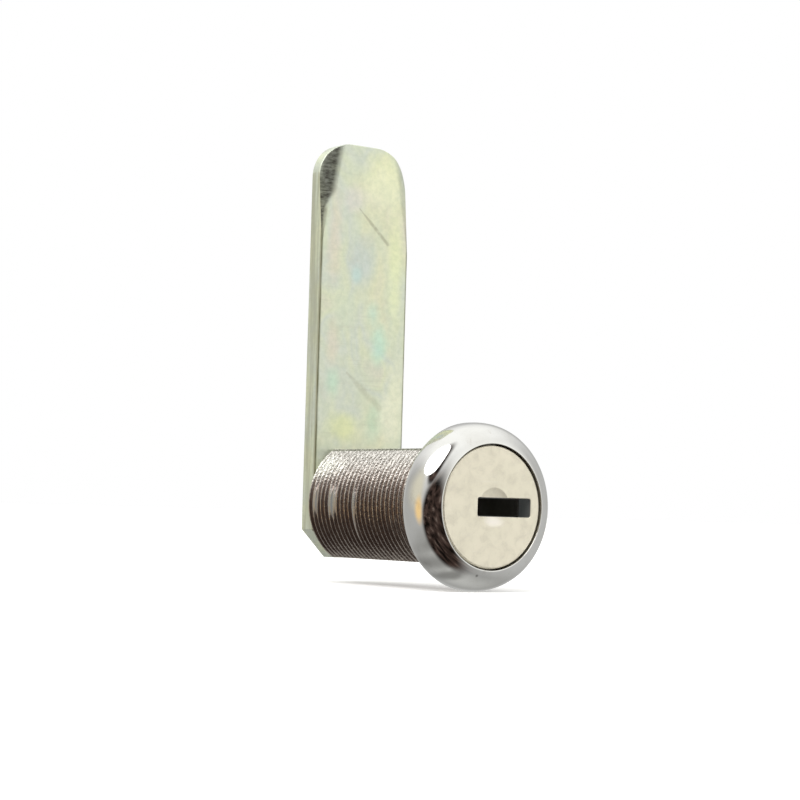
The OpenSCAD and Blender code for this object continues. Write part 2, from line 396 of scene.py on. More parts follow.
def grain_group():
    """Cast or blasted grain, coarse and fine together, as a height from 0 to 1."""
    t, given, out = group("surface_grain", [("Position", "vector", None), ("Scale", "value", 1.0)],
                          [("Height", "value"), ("Speckle", "value")])
    sized = t.sized(given["Position"], given["Scale"])
    coarse = t.noise(sized, 1400, 4, 0.6)
    fine = t.noise(sized, 5200, 2, 0.5)
    t.feed(out["Height"], t.plus(t.times(coarse, 0.65), t.times(fine, 0.35)))
    t.feed(out["Speckle"], t.span(fine, 0.60, 0.72))
    return t.tree


def film_group():
    """Interference colours of a passivated zinc film, as soft patches."""
    t, given, out = group("passivated_film", [("Position", "vector", None)], [("Colour", "colour")])
    drawn = t.stretched(given["Position"], (1.0, 1.0, 0.55))
    warp = t.noise(drawn, 130, 3, 0.45, 0.6)
    thick = t.noise(t.stretched(given["Position"], (1.3, 1.0, 0.7), (0.0, 0.5, 0.0)), 80, 2, 0.4, 1.2)
    blend = t.plus(t.times(warp, 0.55), t.times(thick, 0.45))
    colour = t.ramp(blend, [
        (0.30, (0.86, 0.81, 0.72, 1)), (0.40, (0.86, 0.86, 0.66, 1)), (0.48, (0.81, 0.85, 0.70, 1)),
        (0.54, (0.77, 0.81, 0.74, 1)), (0.60, (0.83, 0.86, 0.68, 1)), (0.70, (0.84, 0.79, 0.72, 1))])
    t.feed(out["Colour"], colour)
    return t.tree


def spot_group():
    """A soft round or oval spot with an uneven rim: 1 at its middle, 0 past its size."""
    t, given, out = group("soft_spot", [("Position", "vector", None), ("Centre", "vector", (0, 0, 0)),
                                        ("Size", "vector", (0.01, 0.01, 0.01))], [("Mask", "value")])
    away = t.vector("SUBTRACT", given["Position"], given["Centre"])[0]
    far = t.vector("LENGTH", t.vector("DIVIDE", away, given["Size"])[0])["Value"]
    uneven = t.times(t.math("SUBTRACT", t.noise(given["Position"], 240, 3, 0.55), 0.5), 0.9)
    t.feed(out["Mask"], t.span(t.plus(far, uneven), 0.15, 1.05, 1.0, 0.0))
    return t.tree


def gouge_group():
    """A straight gouge from one point to another: 1 on its line, 0 past its width."""
    t, given, out = group("gouge", [("Position", "vector", None), ("From", "vector", (0, 0, 0)),
                                    ("Along", "vector", (0, 0, 0)), ("Width", "value", 0.0003)],
                          [("Mask", "value")])
    away = t.vector("SUBTRACT", given["Position"], given["From"])[0]
    reach = t.vector("DOT_PRODUCT", away, given["Along"])["Value"]
    whole = t.vector("DOT_PRODUCT", given["Along"], given["Along"])["Value"]
    share = t.math("DIVIDE", reach, whole, True)
    gap = t.vector("DISTANCE", away, t.sized(given["Along"], share))["Value"]
    thin = t.times(given["Width"], t.span(share, 0.0, 0.5, 0.35, 1.0))
    line = t.math("DIVIDE", gap, thin)
    broken = t.span(t.noise(given["Position"], 1500, 2), 0.25, 0.6, 0.45, 1.0)
    t.feed(out["Mask"], t.times(t.span(line, 0.2, 1.0, 1.0, 0.0), broken))
    return t.tree


GROUPS = {
    "spot": spot_group(), "gouge": gouge_group(), "axis": axis_distance_group(),
    "wear": edge_wear_group(), "scratch": scratch_group(), "grain": grain_group(),
    "film": film_group()}


class Finish(Tree):
    """A material in the making: its tree, its position output and its shader."""

    def __init__(self, name, **shader):
        self.material = bpy.data.materials.new(name)
        self.material.use_nodes = True
        super().__init__(self.material.node_tree)
        self.bsdf = self.tree.nodes["Principled BSDF"]
        for socket, value in shader.items():
            self.bsdf.inputs[socket.replace("_", " ")].default_value = value
        self.position = self.add("ShaderNodeTexCoord").outputs["Object"]

    def use(self, kind, **inputs):
        """One of the shared effects, fed with this material's own place."""
        inputs["Position"] = self.position
        return self.add("ShaderNodeGroup", inputs, node_tree=GROUPS[kind]).outputs

    def give(self, socket, value):
        self.feed(self.bsdf.inputs[socket], value)

    def bump(self, height, strength, distance):
        """Adds one layer of relief on top of those already given."""
        node = self.add("ShaderNodeBump", {"Height": height, "Strength": strength,
                        "Distance": distance * MM})
        normal = self.bsdf.inputs["Normal"]
        if normal.links:
            self.feed(node.inputs["Normal"], normal.links[0].from_socket)
        self.feed(normal, node.outputs[0])


# ---- finishes ----

GRIME_AND_REFLECTION_PATCHES = [                       # x, z, half width, half height in mm, strength of the dark patches on the head's lower left, partly grime and partly painted dark reflection
    (-8.0, -7.6, 2.4, 1.5, 0.5), (-5.6, -9.4, 2.4, 0.9, 0.6), (-7.2, -6.2, 1.0, 0.8, 0.5),
    (-2.3, -9.45, 0.32, 0.26, 0.8), (-9.6, -5.2, 1.0, 1.8, 0.35)]
DULL_SPOTS = [(24.6, 1.0), (20.4, 1.5), (15.0, 0.6)]  # along the barrel's -X side, half length in mm


def polished_chrome():
    """Bright plate on the head: a mirror with smears, a few pits and a little grime, and dark patches
    on its lower left that are partly grime and partly painted dark reflection.
    """
    f = Finish("polished_chrome", Metallic=1.0)
    smear = f.noise(f.position, 210, 3, 0.6, 0.6)
    grime = f.span(f.noise(f.position, 420, 5, 0.7), 0.56, 0.78)
    scratch = f.use("scratch", Scale=1.3, Cover=0.35)
    base = f.mix(f.span(smear, 0.3, 0.75), (0.78, 0.78, 0.765, 1), (0.72, 0.715, 0.69, 1))
    base = f.mix(f.times(grime, 0.35), base, (0.40, 0.36, 0.31, 1))
    # dark patches painted into the chrome's colour: partly grime, partly painted dark reflection
    for x, z, wide, tall, strength in GRIME_AND_REFLECTION_PATCHES:
        spot = f.use("spot", Centre=mm(x, -3, z), Size=mm(wide, 6, tall))
        base = f.mix(f.times(spot["Mask"], strength), base, (0.10, 0.095, 0.085, 1))
    f.give("Base Color", base)
    rough = f.plus(f.span(smear, 0.35, 0.8, 0.05, 0.11), f.times(grime, 0.12))
    f.give("Roughness", f.plus(rough, f.times(scratch["Mask"], 0.12)))
    f.bump(f.noise(f.position, 330, 2), 0.25, 0.03)
    f.bump(scratch["Height"], 0.25, 0.004)
    return f.material


def worn_thread():
    """Dull plate on the thread: brown-black in the valleys, partly grime and partly painted shade,
    grey and rubbed on the crests; painted lighter on the top, with a painted highlight by the cam and
    a painted shadow line at the top flat's edge.
    """
    f = Finish("worn_thread", Metallic=1.0)
    radius = f.use("axis")["Radius"]
    grain = f.use("grain", Scale=1.0)
    height = f.parts(f.position)[2]
    threaded = f.span(radius, ROOT_R - 0.16, ROOT_R - 0.04)
    # the top of the barrel: its crests are painted lighter and its valleys less dark there, as painted
    # light from above; it also roughens and pits the top
    above = f.times(f.span(height, 1.5 * MM, 7.0 * MM), threaded)
    depth = f.span(radius, THREAD_R - 0.45, THREAD_R - 0.08, 1.0, 0.0)
    stain = f.noise(f.position, 330, 4, 0.6)
    depth = f.times(depth, f.span(threaded, 0.0, 1.0, 0.3, 1.0))
    # valleys darker towards the root, partly grime and partly painted shade, with less of it on the
    # painted-lighter top
    valley_grime_and_shade = f.plus(depth, f.times(f.math("SUBTRACT", stain, 0.5), 0.5), True)
    valley_grime_and_shade = f.times(valley_grime_and_shade, f.math("SUBTRACT", 1.0, f.times(above, 0.7)))
    crest = f.mix(f.span(stain, 0.35, 0.7), (0.50, 0.455, 0.41, 1), (0.39, 0.35, 0.32, 1))
    crest = f.mix(above, crest, (0.56, 0.545, 0.51, 1))
    valley = f.mix(grain["Speckle"], (0.31, 0.23, 0.20, 1), (0.45, 0.38, 0.345, 1))
    base = f.mix(valley_grime_and_shade, crest, valley)
    # a painted highlight on the barrel's top left near the cam, where the light falls
    painted_highlight_spot = f.use("spot", Centre=mm(-7.8, 24.6, 5.4), Size=mm(3, 6, 3))
    base = f.mix(f.times(painted_highlight_spot["Mask"], 0.7), base, (0.86, 0.87, 0.80, 1))
    # a painted dark line of shade along the edge of the barrel's top flat
    flat_edge_shadow = f.times(f.span(height, 7.60 * MM, 7.80 * MM),
                    f.span(height, 7.94 * MM, 7.99 * MM, 1.0, 0.0))
    base = f.mix(f.times(flat_edge_shadow, 0.8), base, (0.17, 0.18, 0.13, 1))
    rough = f.plus(f.span(valley_grime_and_shade, 0.1, 0.9, 0.28, 0.34), f.times(above, 0.16))
    for along, wide in DULL_SPOTS:
        spot = f.use("spot", Centre=mm(-THREAD_R, along, 0), Size=mm(10, wide, 3))
        dulled = f.times(spot["Mask"], f.math("SUBTRACT", 1.0, depth))
        base = f.mix(dulled, base, (0.37, 0.38, 0.38, 1))
        rough = f.plus(rough, f.times(dulled, 0.2))
    f.give("Base Color", base)
    f.give("Roughness", rough)
    pitted = f.times(f.noise(f.position, 3300, 1.5, 0.5), f.span(above, 0.0, 1.0, 0.25, 1.35))
    f.bump(pitted, 1.0, 0.17)
    f.bump(grain["Height"], 1.0, 0.05)
    return f.material


def bare_casting():
    """Unpolished zinc inside the bore and on the core of the plug."""
    f = Finish("bare_casting", Metallic=1.0)
    grain = f.use("grain", Scale=0.8)
    tone = f.noise(f.position, 380, 4)
    f.give("Base Color", f.mix(f.span(tone, 0.3, 0.7), (0.30, 0.28, 0.25, 1), (0.42, 0.40, 0.37, 1)))
    f.give("Roughness", f.span(grain["Height"], 0.3, 0.7, 0.38, 0.6))
    f.bump(grain["Height"], 0.5, 0.02)
    return f.material


def dark_keyway():
    """Graphite and oil on the walls of the keyway, with a faint painted glow from its emission so the
    slot's inside is not black.
    """
    f = Finish("dark_keyway", Metallic=0.3, Emission_Color=(0.9, 1, 1, 1), Emission_Strength=0.021)
    grain = f.use("grain", Scale=1.2)
    f.give("Base Color", f.mix(grain["Speckle"], (0.16, 0.16, 0.155, 1), (0.26, 0.25, 0.24, 1)))
    f.give("Roughness", f.span(grain["Height"], 0.3, 0.7, 0.45, 0.7))
    f.bump(grain["Height"], 0.5, 0.02)
    return f.material


def satin_nickel():
    """Warm satin plate on the plug's face, mottled and lightly scratched, with the dimple's lower part
    painted lighter: rubbed plate and a painted highlight.
    """
    f = Finish("satin_nickel", Metallic=0.5)
    mottle = f.noise(f.position, 620, 5, 0.7, 0.4)
    cloud = f.noise(f.position, 110, 3, 0.5)
    grain = f.use("grain", Scale=1.1)
    scratch = f.use("scratch", Scale=1.0, Cover=0.55)
    wear = f.use("wear", Amount=0.8)
    warm = f.mix(f.span(cloud, 0.35, 0.65), (0.95, 0.89, 0.73, 1), (0.93, 0.88, 0.715, 1))
    base = f.mix(f.span(mottle, 0.4, 0.75), warm, (0.84, 0.79, 0.65, 1))
    base = f.mix(f.times(scratch["Mask"], 0.2), base, (0.94, 0.91, 0.84, 1))
    # the dimple's lower part painted lighter: partly rubbed plate, partly a painted highlight where it
    # faces the light
    rubbed_and_lit_dimple = f.use("spot", Centre=mm(DIMPLE_X, FACE_Y, -1.95), Size=mm(2, 4, 1.1))
    base = f.mix(f.times(rubbed_and_lit_dimple["Mask"], 0.8), base, (1.0, 0.95, 0.88, 1))
    f.give("Base Color", f.mix(wear["Mask"], base, (0.94, 0.91, 0.84, 1)))
    rough = f.plus(f.span(mottle, 0.3, 0.7, 0.34, 0.44), f.times(scratch["Mask"], -0.08))
    f.give("Roughness", rough)
    f.bump(grain["Height"], 0.45, 0.012)
    f.bump(scratch["Height"], 0.4, 0.006)
    return f.material


FILM_SPOTS = [                    # x, z, half width, half height in mm, colour
    (2.6, 50.5, 4.6, 4.4, (1.0, 1.0, 0.60)), (5.8, 36.0, 2.0, 13.0, (0.96, 1.0, 0.66)),
    (-0.8, 36.5, 3.6, 5.5, (0.69, 0.75, 0.77)), (-1.4, 34.5, 1.4, 1.8, (0.66, 0.84, 0.84)),
    (3.1, 24.2, 2.3, 4.4, (0.64, 0.93, 0.82)), (1.9, 28.8, 1.8, 3.0, (0.70, 0.90, 0.80)),
    (-5.6, 40.0, 1.8, 9.0, (0.88, 0.79, 0.70)), (-5.4, 24.0, 1.6, 5.0, (0.88, 0.80, 0.70)),
    (-5.2, 18.0, 2.0, 3.0, (0.66, 0.88, 0.76)), (-2.8, 11.4, 4.2, 2.8, (0.90, 0.93, 0.54)),
    (-3.5, 29.0, 2.8, 6.0, (0.80, 0.86, 0.70)), (0.5, 19.0, 4.0, 4.0, (0.78, 0.82, 0.70)),
    (2.5, 12.5, 2.5, 4.0, (0.68, 0.85, 0.68)), (6.3, 16.0, 3.0, 8.0, (1.0, 1.0, 0.78)),
    (-2.0, 46.0, 3.0, 3.0, (0.84, 0.80, 0.80)), (2.4, 48.5, 5.0, 6.0, (1.0, 1.0, 0.78)),
    (5.4, 13.0, 3.0, 6.0, (1.0, 1.0, 0.84))]
GOUGES = [                        # x, z, step in x, step in z, width in mm, depth
    (-1.2, 44.6, 5.4, -4.9, 0.42, 1.1), (-2.7, 19.6, 6.1, -5.0, 0.8, 0.5)]


def yellow_passivate():
    """Zinc plate with a pale yellow-green film that shifts to pink, blue and green, with painted shade
    on its rolled edges and long sides and a painted dark reflection on the -X lead-in.
    """
    f = Finish("yellow_passivate", Metallic=0.5)
    film = f.use("film")["Colour"]
    grain = f.use("grain", Scale=0.9)
    scratch = f.use("scratch", Scale=0.8, Cover=0.5)
    wear = f.use("wear", Amount=0.5)
    for x, z, wide, tall, colour in FILM_SPOTS:
        spot = f.use("spot", Centre=mm(x, CAM_LOW.y, z), Size=mm(wide, 100, tall))
        film = f.mix(f.times(spot["Mask"], 0.7), film, colour + (1,))
    mottle = f.span(f.noise(f.position, 1300, 4, 0.65), 0.3, 0.7)
    film = f.mix(1.0, film, f.mix(mottle, (0.985, 0.995, 0.94, 1), (0.87, 0.90, 0.84, 1)), "MULTIPLY")
    stain = f.span(f.noise(f.position, 420, 5, 0.7), 0.5, 0.75)
    base = f.mix(f.times(stain, 0.2), film, (0.60, 0.57, 0.43, 1))
    base = f.mix(f.times(scratch["Mask"], 0.2), base, (0.45, 0.43, 0.32, 1))
    base = f.mix(f.times(wear["Mask"], 0.3), base, (0.86, 0.86, 0.76, 1))
    for x, z, step_x, step_z, width, depth in GOUGES:
        gouge = f.use("gouge", From=mm(x, CAM_LOW.y, z), Along=mm(step_x, 0, step_z),
                      Width=width * MM)
        base = f.mix(f.times(gouge["Mask"], 0.6 * depth), base, (0.42, 0.42, 0.29, 1))
    parts = f.parts(f.position)
    sunk = f.math("SUBTRACT", f.times(parts[1], 1 / MM), CAM_LOW.y)
    # a painted dark line along the rolled front edges
    base = f.mix(rolled_edge_shade(f, parts, sunk), base, (0.26, 0.27, 0.17, 1))
    # shear streaks on the long sides, with painted shade darkening the whole side
    base = f.mix(side_streaks_and_shade(f, parts), base, (0.50, 0.51, 0.38, 1))
    # a painted dark reflection on the -X lead-in
    f.give("Base Color", f.mix(lead_in_dark_reflection(f, parts, sunk), base, (0.055, 0.052, 0.04, 1)))
    f.give("Roughness", f.span(grain["Height"], 0.3, 0.7, 0.28, 0.40))
    f.bump(grain["Height"], 0.6, 0.016)
    f.bump(scratch["Height"], 0.5, 0.008)
    return f.material


def side_streaks_and_shade(f, parts):
    """Streaks left by the shear on the cam's long sides, which also paint the whole side darker as
    painted shade.
    """
    across = f.times(f.math("ABSOLUTE", parts[0]), 1 / MM)
    drawn = f.noise(f.stretched(f.position, (1, 1, 0.05)), 1600, 3, 0.6)
    streaks = f.span(drawn, 0.35, 0.65, 0.1, 0.75)
    return f.times(f.span(across, CAM_HALF - 0.05, CAM_HALF - 0.01), streaks)


def rolled_edge_shade(f, parts, sunk):
    """Painted shade along the rolled front edges of the cam, standing in for their dark reflection."""
    across = f.times(f.math("ABSOLUTE", parts[0]), 1 / MM)
    near = f.span(across, CAM_HALF - 0.42, CAM_HALF - 0.12)
    near = f.times(near, f.span(sunk, 0.2, 0.4, 1.0, 0.0))
    broken = f.span(f.noise(f.stretched(f.position, (1, 1, 0.3)), 700, 3), 0.3, 0.6, 0.6, 1.0)
    return f.times(near, broken, True)


def lead_in_dark_reflection(f, parts, sunk):
    """Painted dark reflection on the pressed lead-in at -X, paler towards the cam's edge."""
    skin = f.times(f.span(sunk, 0.03, 0.36), f.span(sunk, 0.85, 1.35, 1.0, 0.12))
    skin = f.times(skin, f.span(sunk, 1.6, 2.0, 1.0, 0.0))
    side = f.span(parts[0], -4.0 * MM, -2.6 * MM, 1.0, 0.0)
    high = f.span(parts[2], 37 * MM, 44 * MM, 0.35, 1.0)
    front = f.parts(f.add("ShaderNodeNewGeometry").outputs["Normal"])[1]
    high = f.times(high, f.span(front, -0.62, -0.45, 1.0, 0.0))
    streaks = f.noise(f.stretched(f.position, (0.35, 1.0, 1.6)), 1500, 4, 0.7)
    patchy = f.span(streaks, 0.28, 0.68, 1.0, 0.6)
    return f.times(f.times(skin, side), f.times(high, patchy), True)


def plated_steel(name, light, dark, roughness, grain_scale):
    """Bright zinc, brass or drawn steel on the small parts."""
    f = Finish(name, Metallic=1.0)
    tone = f.noise(f.position, 520, 4, 0.6)
    grain = f.use("grain", Scale=grain_scale)
    scratch = f.use("scratch", Scale=1.6, Cover=0.6)
    wear = f.use("wear", Amount=0.7)
    base = f.mix(f.span(tone, 0.35, 0.7), light, dark)
    f.give("Base Color", f.mix(wear["Mask"], base, tuple(min(1, c * 1.2) for c in light[:3]) + (1,)))
    f.give("Roughness", f.plus(f.span(tone, 0.3, 0.7, roughness, roughness + 0.12),
                               f.times(scratch["Mask"], 0.1)))
    f.bump(grain["Height"], 0.4, 0.012)
    f.bump(scratch["Height"], 0.4, 0.005)
    return f.material


CHROME = polished_chrome()
THREAD = worn_thread()
CASTING = bare_casting()
KEYWAY = dark_keyway()
NICKEL = satin_nickel()
PASSIVATE = yellow_passivate()
BRIGHT_ZINC = plated_steel("bright_zinc", (0.66, 0.68, 0.70, 1), (0.50, 0.51, 0.53, 1), 0.26, 1.0)
BRASS = plated_steel("stamped_brass", (0.78, 0.60, 0.28, 1), (0.60, 0.43, 0.18, 1), 0.28, 1.2)
SPRING_STEEL = plated_steel("spring_steel", (0.55, 0.55, 0.56, 1), (0.40, 0.40, 0.42, 1), 0.22, 2.0)


# ---- housing ----

def barrel_angles():
    """Angles round the housing in degrees: even steps, closer where flats and grooves break it."""
    angles = [2.0 * i for i in range(180)]
    for corner in FLAT_CORNERS:
        angles += [corner + 0.35 * i for i in range(21)]
    floor = math.degrees(math.atan2(GROOVE_HALF, GROOVE_R))
    mouth = math.degrees(math.asin(GROOVE_HALF / BORE_R))
    for middle in GROOVE_ANGLES:
        angles += [(middle + side * a) % 360 for side in (-1, 1) for a in (floor, mouth)]
    for edge in STOP_ANGLES:
        angles += [edge - 0.04, edge + 0.04]
    ordered = []
    for angle in sorted(angles):
        if not ordered or angle - ordered[-1] > 0.05:
            ordered.append(angle)
    return ordered


RUBBED = [                        # (along, angle, half length, half angle, strength)
    (24.6, 178.0, 0.85, 14.0, 0.9), (20.4, 180.0, 1.25, 15.0, 0.95), (15.0, 188.0, 0.5, 24.0, 0.9),
    (9.0, 140.0, 0.4, 10.0, 0.4), (18.0, 20.0, 0.8, 12.0, 0.7), (8.0, 350.0, 0.6, 16.0, 0.6)]


def rubbed(angle, along):
    """How far the crests are rubbed down at a place, 0 to 1."""
    most = 0.0
    for y, a, half_y, half_a, strength in RUBBED:
        turn = (angle - a + 180) % 360 - 180
        far = ((along - y) / half_y) ** 2 + (turn / half_a) ** 2
        most = max(most, strength * math.exp(-far * far))
    return most


def thread_phase_rows():
    """Places within one pitch, with the depth of the rounded groove there, 0 on the crest to 1."""
    return [(i / THREAD_STEPS, 0.5 + 0.5 * math.cos(2 * math.pi * i / THREAD_STEPS))
            for i in range(THREAD_STEPS)]


def thread_radius(angle, along, depth):
    """Radius of the barrel's skin, with the run-in by the head and the chamfer at the end."""
    a = math.radians(angle)
    here = Vector((9 * math.cos(a), along, 9 * math.sin(a)))
    dent = 0.018 * noise.noise(here * 2.3) + 0.01 * noise.noise(here * 7.1)
    worn = rubbed(angle, along)
    depth = depth * (1 - 0.85 * worn) + 0.08 * worn
    r = THREAD_R - (THREAD_R - ROOT_R) * depth + min(0.0, dent - 0.006)
    return min(r, ROOT_R + max(0.0, along - NECK_Y), ROOT_R + max(0.0, BARREL_END - along))


def bore_radius(angle, along):
    """Radius of the bore, with the locking grooves, the ring groove and the stop's recess."""
    r = BORE_R
    if along >= GROOVE_Y:
        for middle in GROOVE_ANGLES:
            off = math.radians((angle - middle + 180) % 360 - 180)
            if abs(off) < math.radians(60):
                across = GROOVE_HALF / max(abs(math.sin(off)), 1e-6)
                r = max(r, min(GROOVE_R / math.cos(off), across))
    in_stop = along >= STOP_Y and STOP_ANGLES[0] < angle < STOP_ANGLES[1]
    if abs(along - RING_Y) <= RING_HALF or in_stop:
        r = max(r, GROOVE_R)
    return r


def dome_point(t):
    """Place on the dome's profile, from the lip at 0 to the head's side at 1."""
    lip, side = Vector((HOLE_R + LIP_R, -HEAD_H)), Vector((HEAD_R, -HEAD_SIDE))
    near_lip = lip + DOME_REACH[0] * Vector((math.cos(DOME_LEAN), math.sin(DOME_LEAN)))
    near_side = side - Vector((0.0, DOME_REACH[1]))
    point = (1 - t) ** 3 * lip + 3 * t * (1 - t) ** 2 * near_lip
    return tuple(point + 3 * t * t * (1 - t) * near_side + t ** 3 * side)


def housing_column(angle):
    """The outline of the housing at one angle: head, thread, rear face and bore, as (r, y, kind)."""
    head = [(HOLE_R, SEAT_Y)]
    head += [(HOLE_R + LIP_R * (1 - math.cos(a)), -HEAD_H + LIP_R * (1 - math.sin(a)))
             for a in arc(6)]
    head += [dome_point(i / DOME_STEPS) for i in range(1, DOME_STEPS + 1)]
    soft = 0.3 * HEAD_BACK_EDGE
    head += [(HEAD_R, -HEAD_BACK_EDGE), (HEAD_R - soft, -soft), (HEAD_R - HEAD_BACK_EDGE, 0.0)]
    column = [(r, y, "head") for r, y in head]
    phases = thread_phase_rows()
    turns = math.ceil((BARREL_END - NECK_Y) / PITCH) + 1
    column.append((ROOT_R, 0.0, "back"))
    for turn in range(turns + 1):
        for t, depth in phases:
            y = NECK_Y + (turn + t - angle / 360) * PITCH
            y = min(max(y, NECK_Y), BARREL_END)
            column.append((thread_radius(angle, y, depth), y, "barrel"))
    column.append((bore_radius(angle, BARREL_END), BARREL_END, "bore"))
    for y in (STOP_Y, RING_Y + RING_HALF, RING_Y - RING_HALF, GROOVE_Y):
        for side in (0.001, -0.001):
            column.append((bore_radius(angle, y + side), y, "bore"))
    column.append((BORE_R, SEAT_Y, "bore"))
    return column


def make_housing():
    """Head, helical thread with its flats, rear face and grooved bore, in one closed skin."""
    bm = bmesh.new()
    columns = []
    for angle in barrel_angles():
        a = math.radians(angle)
        points = []
        for r, y, kind in housing_column(angle):
            z = r * math.sin(a)
            if kind in ("back", "barrel"):
                z = min(max(z, -FLAT_Z), FLAT_Z)
            points.append(bm.verts.new((r * math.cos(a), y, z)))
        columns.append(points)
    kinds = [kind for _, _, kind in housing_column(0.0)]
    rows = len(kinds)
    first = kinds.index("barrel")
    last = rows - 1 - kinds[::-1].index("barrel")
    finish = {"head": 0, "back": 0, "barrel": 1, "bore": 2}

    def wrapped(row):
        """The row of the first column that meets this row of the last one."""
        if first <= row <= last:
            return max(row - THREAD_STEPS, first)
        return row

    for c, here in enumerate(columns):
        seam = c == len(columns) - 1
        there = columns[0] if seam else columns[c + 1]
        for row in range(rows):
            below = (row + 1) % rows
            ends = (wrapped(row), wrapped(below)) if seam else (row, below)
            corners = [here[row], here[below], there[ends[1]], there[ends[0]]]
            if ends[0] == ends[1]:
                corners.pop()
            face = bm.faces.new(corners)
            face.material_index = finish[kinds[below]] if below else 2
    bmesh.ops.remove_doubles(bm, verts=bm.verts, dist=2e-4)
    bmesh.ops.dissolve_degenerate(bm, edges=bm.edges, dist=2e-4)
    shade(bm, 38)
    housing = to_object("threaded_housing", bm, [CHROME, THREAD, CASTING])
    place(housing, "housing", ["housing"])


# ---- plug ----

def plug_section():
    """Half section of the plug before it is cut: face, flange, body and shoulder."""
    rim = [(FACE_R - FACE_ROUND + FACE_ROUND * math.sin(a), FACE_Y + FACE_ROUND * (1 - math.cos(a)))
           for a in arc(8)]
    return [(0.0, FACE_Y)] + rim + [
        (FACE_R, FLANGE_BACK), (PLUG_R, FLANGE_BACK), (PLUG_R, SHOULDER_Y - SHOULDER_CHAMFER),
        (PLUG_R - SHOULDER_CHAMFER, SHOULDER_Y), (0.0, SHOULDER_Y)]


def slot_rings():
    """Rings of the slot's cutter, flared at the mouth to break the edge."""
    rings = []
    for y, grow in ((FACE_Y - CUT_OVER, SLOT_BREAK + CUT_OVER), (FACE_Y + SLOT_BREAK, 0.0),
                    (FLANGE_BACK + 0.02, 0.0)):
        outline = rounded_rectangle(SLOT_X, SLOT_W / 2 + grow, SLOT_H / 2 + grow,
                                    SLOT_CORNER + grow)
        rings.append([(x, y, z) for x, z in outline])
    return rings


def dimple_rings():
    """Rings of a shallow ball's cap that sinks the dimple into the face."""
    ball = (DIMPLE_R ** 2 + DIMPLE_DEPTH ** 2) / (2 * DIMPLE_DEPTH)
    wide = DIMPLE_R * 1.25            # the cap goes on past the face
    steps, sides = 12, 64
    angles = [2 * math.pi * i / sides for i in range(sides)]
    rings = []
    for step in range(steps, 0, -1):
        r = wide * step / steps
        y = FACE_Y + DIMPLE_DEPTH - ball + math.sqrt(ball * ball - r * r)
        rings.append([(DIMPLE_X + r * math.cos(a), y, r * math.sin(a)) for a in angles])
    top = [(x, FACE_Y - 1.0, z) for x, _, z in rings[0]]
    return [top] + rings


def make_plug():
    """The turned core, cut for its dimple, key slot, wafers and retaining wafer, with its tail."""
    body = bmesh.new()
    turned(body, plug_section(), PLUG_STEPS)
    out = PLUG_R + 1
    for rings in [dimple_rings(), slot_rings()]:
        tool = bmesh.new()
        loft(tool, rings)
        body = cut(body, tool)
    keyway = bmesh.new()
    add_box(keyway, (KEYWAY_X0, FLANGE_BACK, -KEYWAY_H / 2), (out, KEYWAY_END, KEYWAY_H / 2))
    body = cut(body, keyway)
    for low, high in WAFER_BOXES:
        half = -low.z + SLIDE_GAP
        top = high.z + SEAT_HEADROOM
        outline = [(-out, -half), (out, -half), (out, top), (POCKET_X, top), (POCKET_X, half),
                   (-out, half)]
        seat = bmesh.new()
        loft(seat, [[(x, y, z) for x, z in outline]
                    for y in (low.y - SLIDE_GAP, high.y + SLIDE_GAP)])
        body = cut(body, seat)
    room_x, room_z = KEEPER_ROOM
    keeper = bmesh.new()
    add_box(keeper, (-out, KEEPER_LOW.y - SLIDE_GAP, KEEPER_LOW.z - room_z),
            (KEEPER_HIGH.x + room_x, KEEPER_HIGH.y + SLIDE_GAP, KEEPER_HIGH.z + room_z))
    body = cut(body, keeper)
    for face in body.faces:
        middle = face.calc_center_median()
        in_slot = abs(middle.z) < SLOT_H / 2 + 0.01 and middle.y > FACE_Y + SLOT_BREAK + 0.02
        if in_slot and abs(middle.x - SLOT_X) < SLOT_W / 2 + 0.01:
            face.material_index = 2
        elif middle.y > FLANGE_BACK - 0.01:
            face.material_index = 1
    shade(body, 30)
    plug = to_object("plug_core", body, [NICKEL, CASTING, KEYWAY])
    keep_flats(plug)
    place(plug, "plug", ["plug"])
    make_tail()


def make_tail():
    """The square tail that carries the cam, hollow for the screw."""
    inner = TAIL_HALF - TAIL_CHAMFER

    def square_at(angle):
        """Distance from the axis to the chamfered square at an angle."""
        a = angle % (math.pi / 2)
        flat = TAIL_HALF / max(math.cos(a), math.sin(a))
        corner = (TAIL_HALF + inner) / (math.cos(a) + math.sin(a))
        return min(flat, corner)

    angles = [2 * math.pi * i / TAIL_STEPS for i in range(TAIL_STEPS)]
    square = [square_at(a) for a in angles]
    mouth, tap = [TAP_R + TAIL_BREAK] * TAIL_STEPS, [TAP_R] * TAIL_STEPS
    end = PLUG_HIGH.y
    rings = []
    for reach, y in ((square, SHOULDER_Y - CUT_OVER), (square, end - TAIL_BREAK),
                     ([r - TAIL_BREAK for r in square], end),
                     (mouth, end), (tap, end - TAIL_BREAK), (tap, TAP_Y)):
        rings.append([(r * math.cos(a), y, r * math.sin(a)) for r, a in zip(reach, angles)])
    bm = bmesh.new()
    loft(bm, rings)
    shade(bm, 30)
    tail = to_object("plug_tail", bm, [CASTING])
    place(tail, "plug", ["plug"])


# ---- cam ----

def cam_half_width(z, radius):
    """Half width of the cam at a height, through its clipped foot and a tip corner of that radius."""
    if z < CAM_LOW.z + CAM_HALF - CAM_FOOT_HALF:
        return CAM_FOOT_HALF + z - CAM_LOW.z
    over = z - (CAM_HIGH.z - radius)
    if over > 0:
        return CAM_HALF - radius + math.sqrt(max(0.0, radius ** 2 - over ** 2))
    return CAM_HALF


def lead_width(z):
    """Width of the pressed lead-in at a height."""
    for (z0, w0), (z1, w1) in zip(LEAD_STEPS, LEAD_STEPS[1:]):
        if z <= z1:
            return w0 + (w1 - w0) * max(0.0, z - z0) / (z1 - z0)
    return LEAD_STEPS[-1][1]


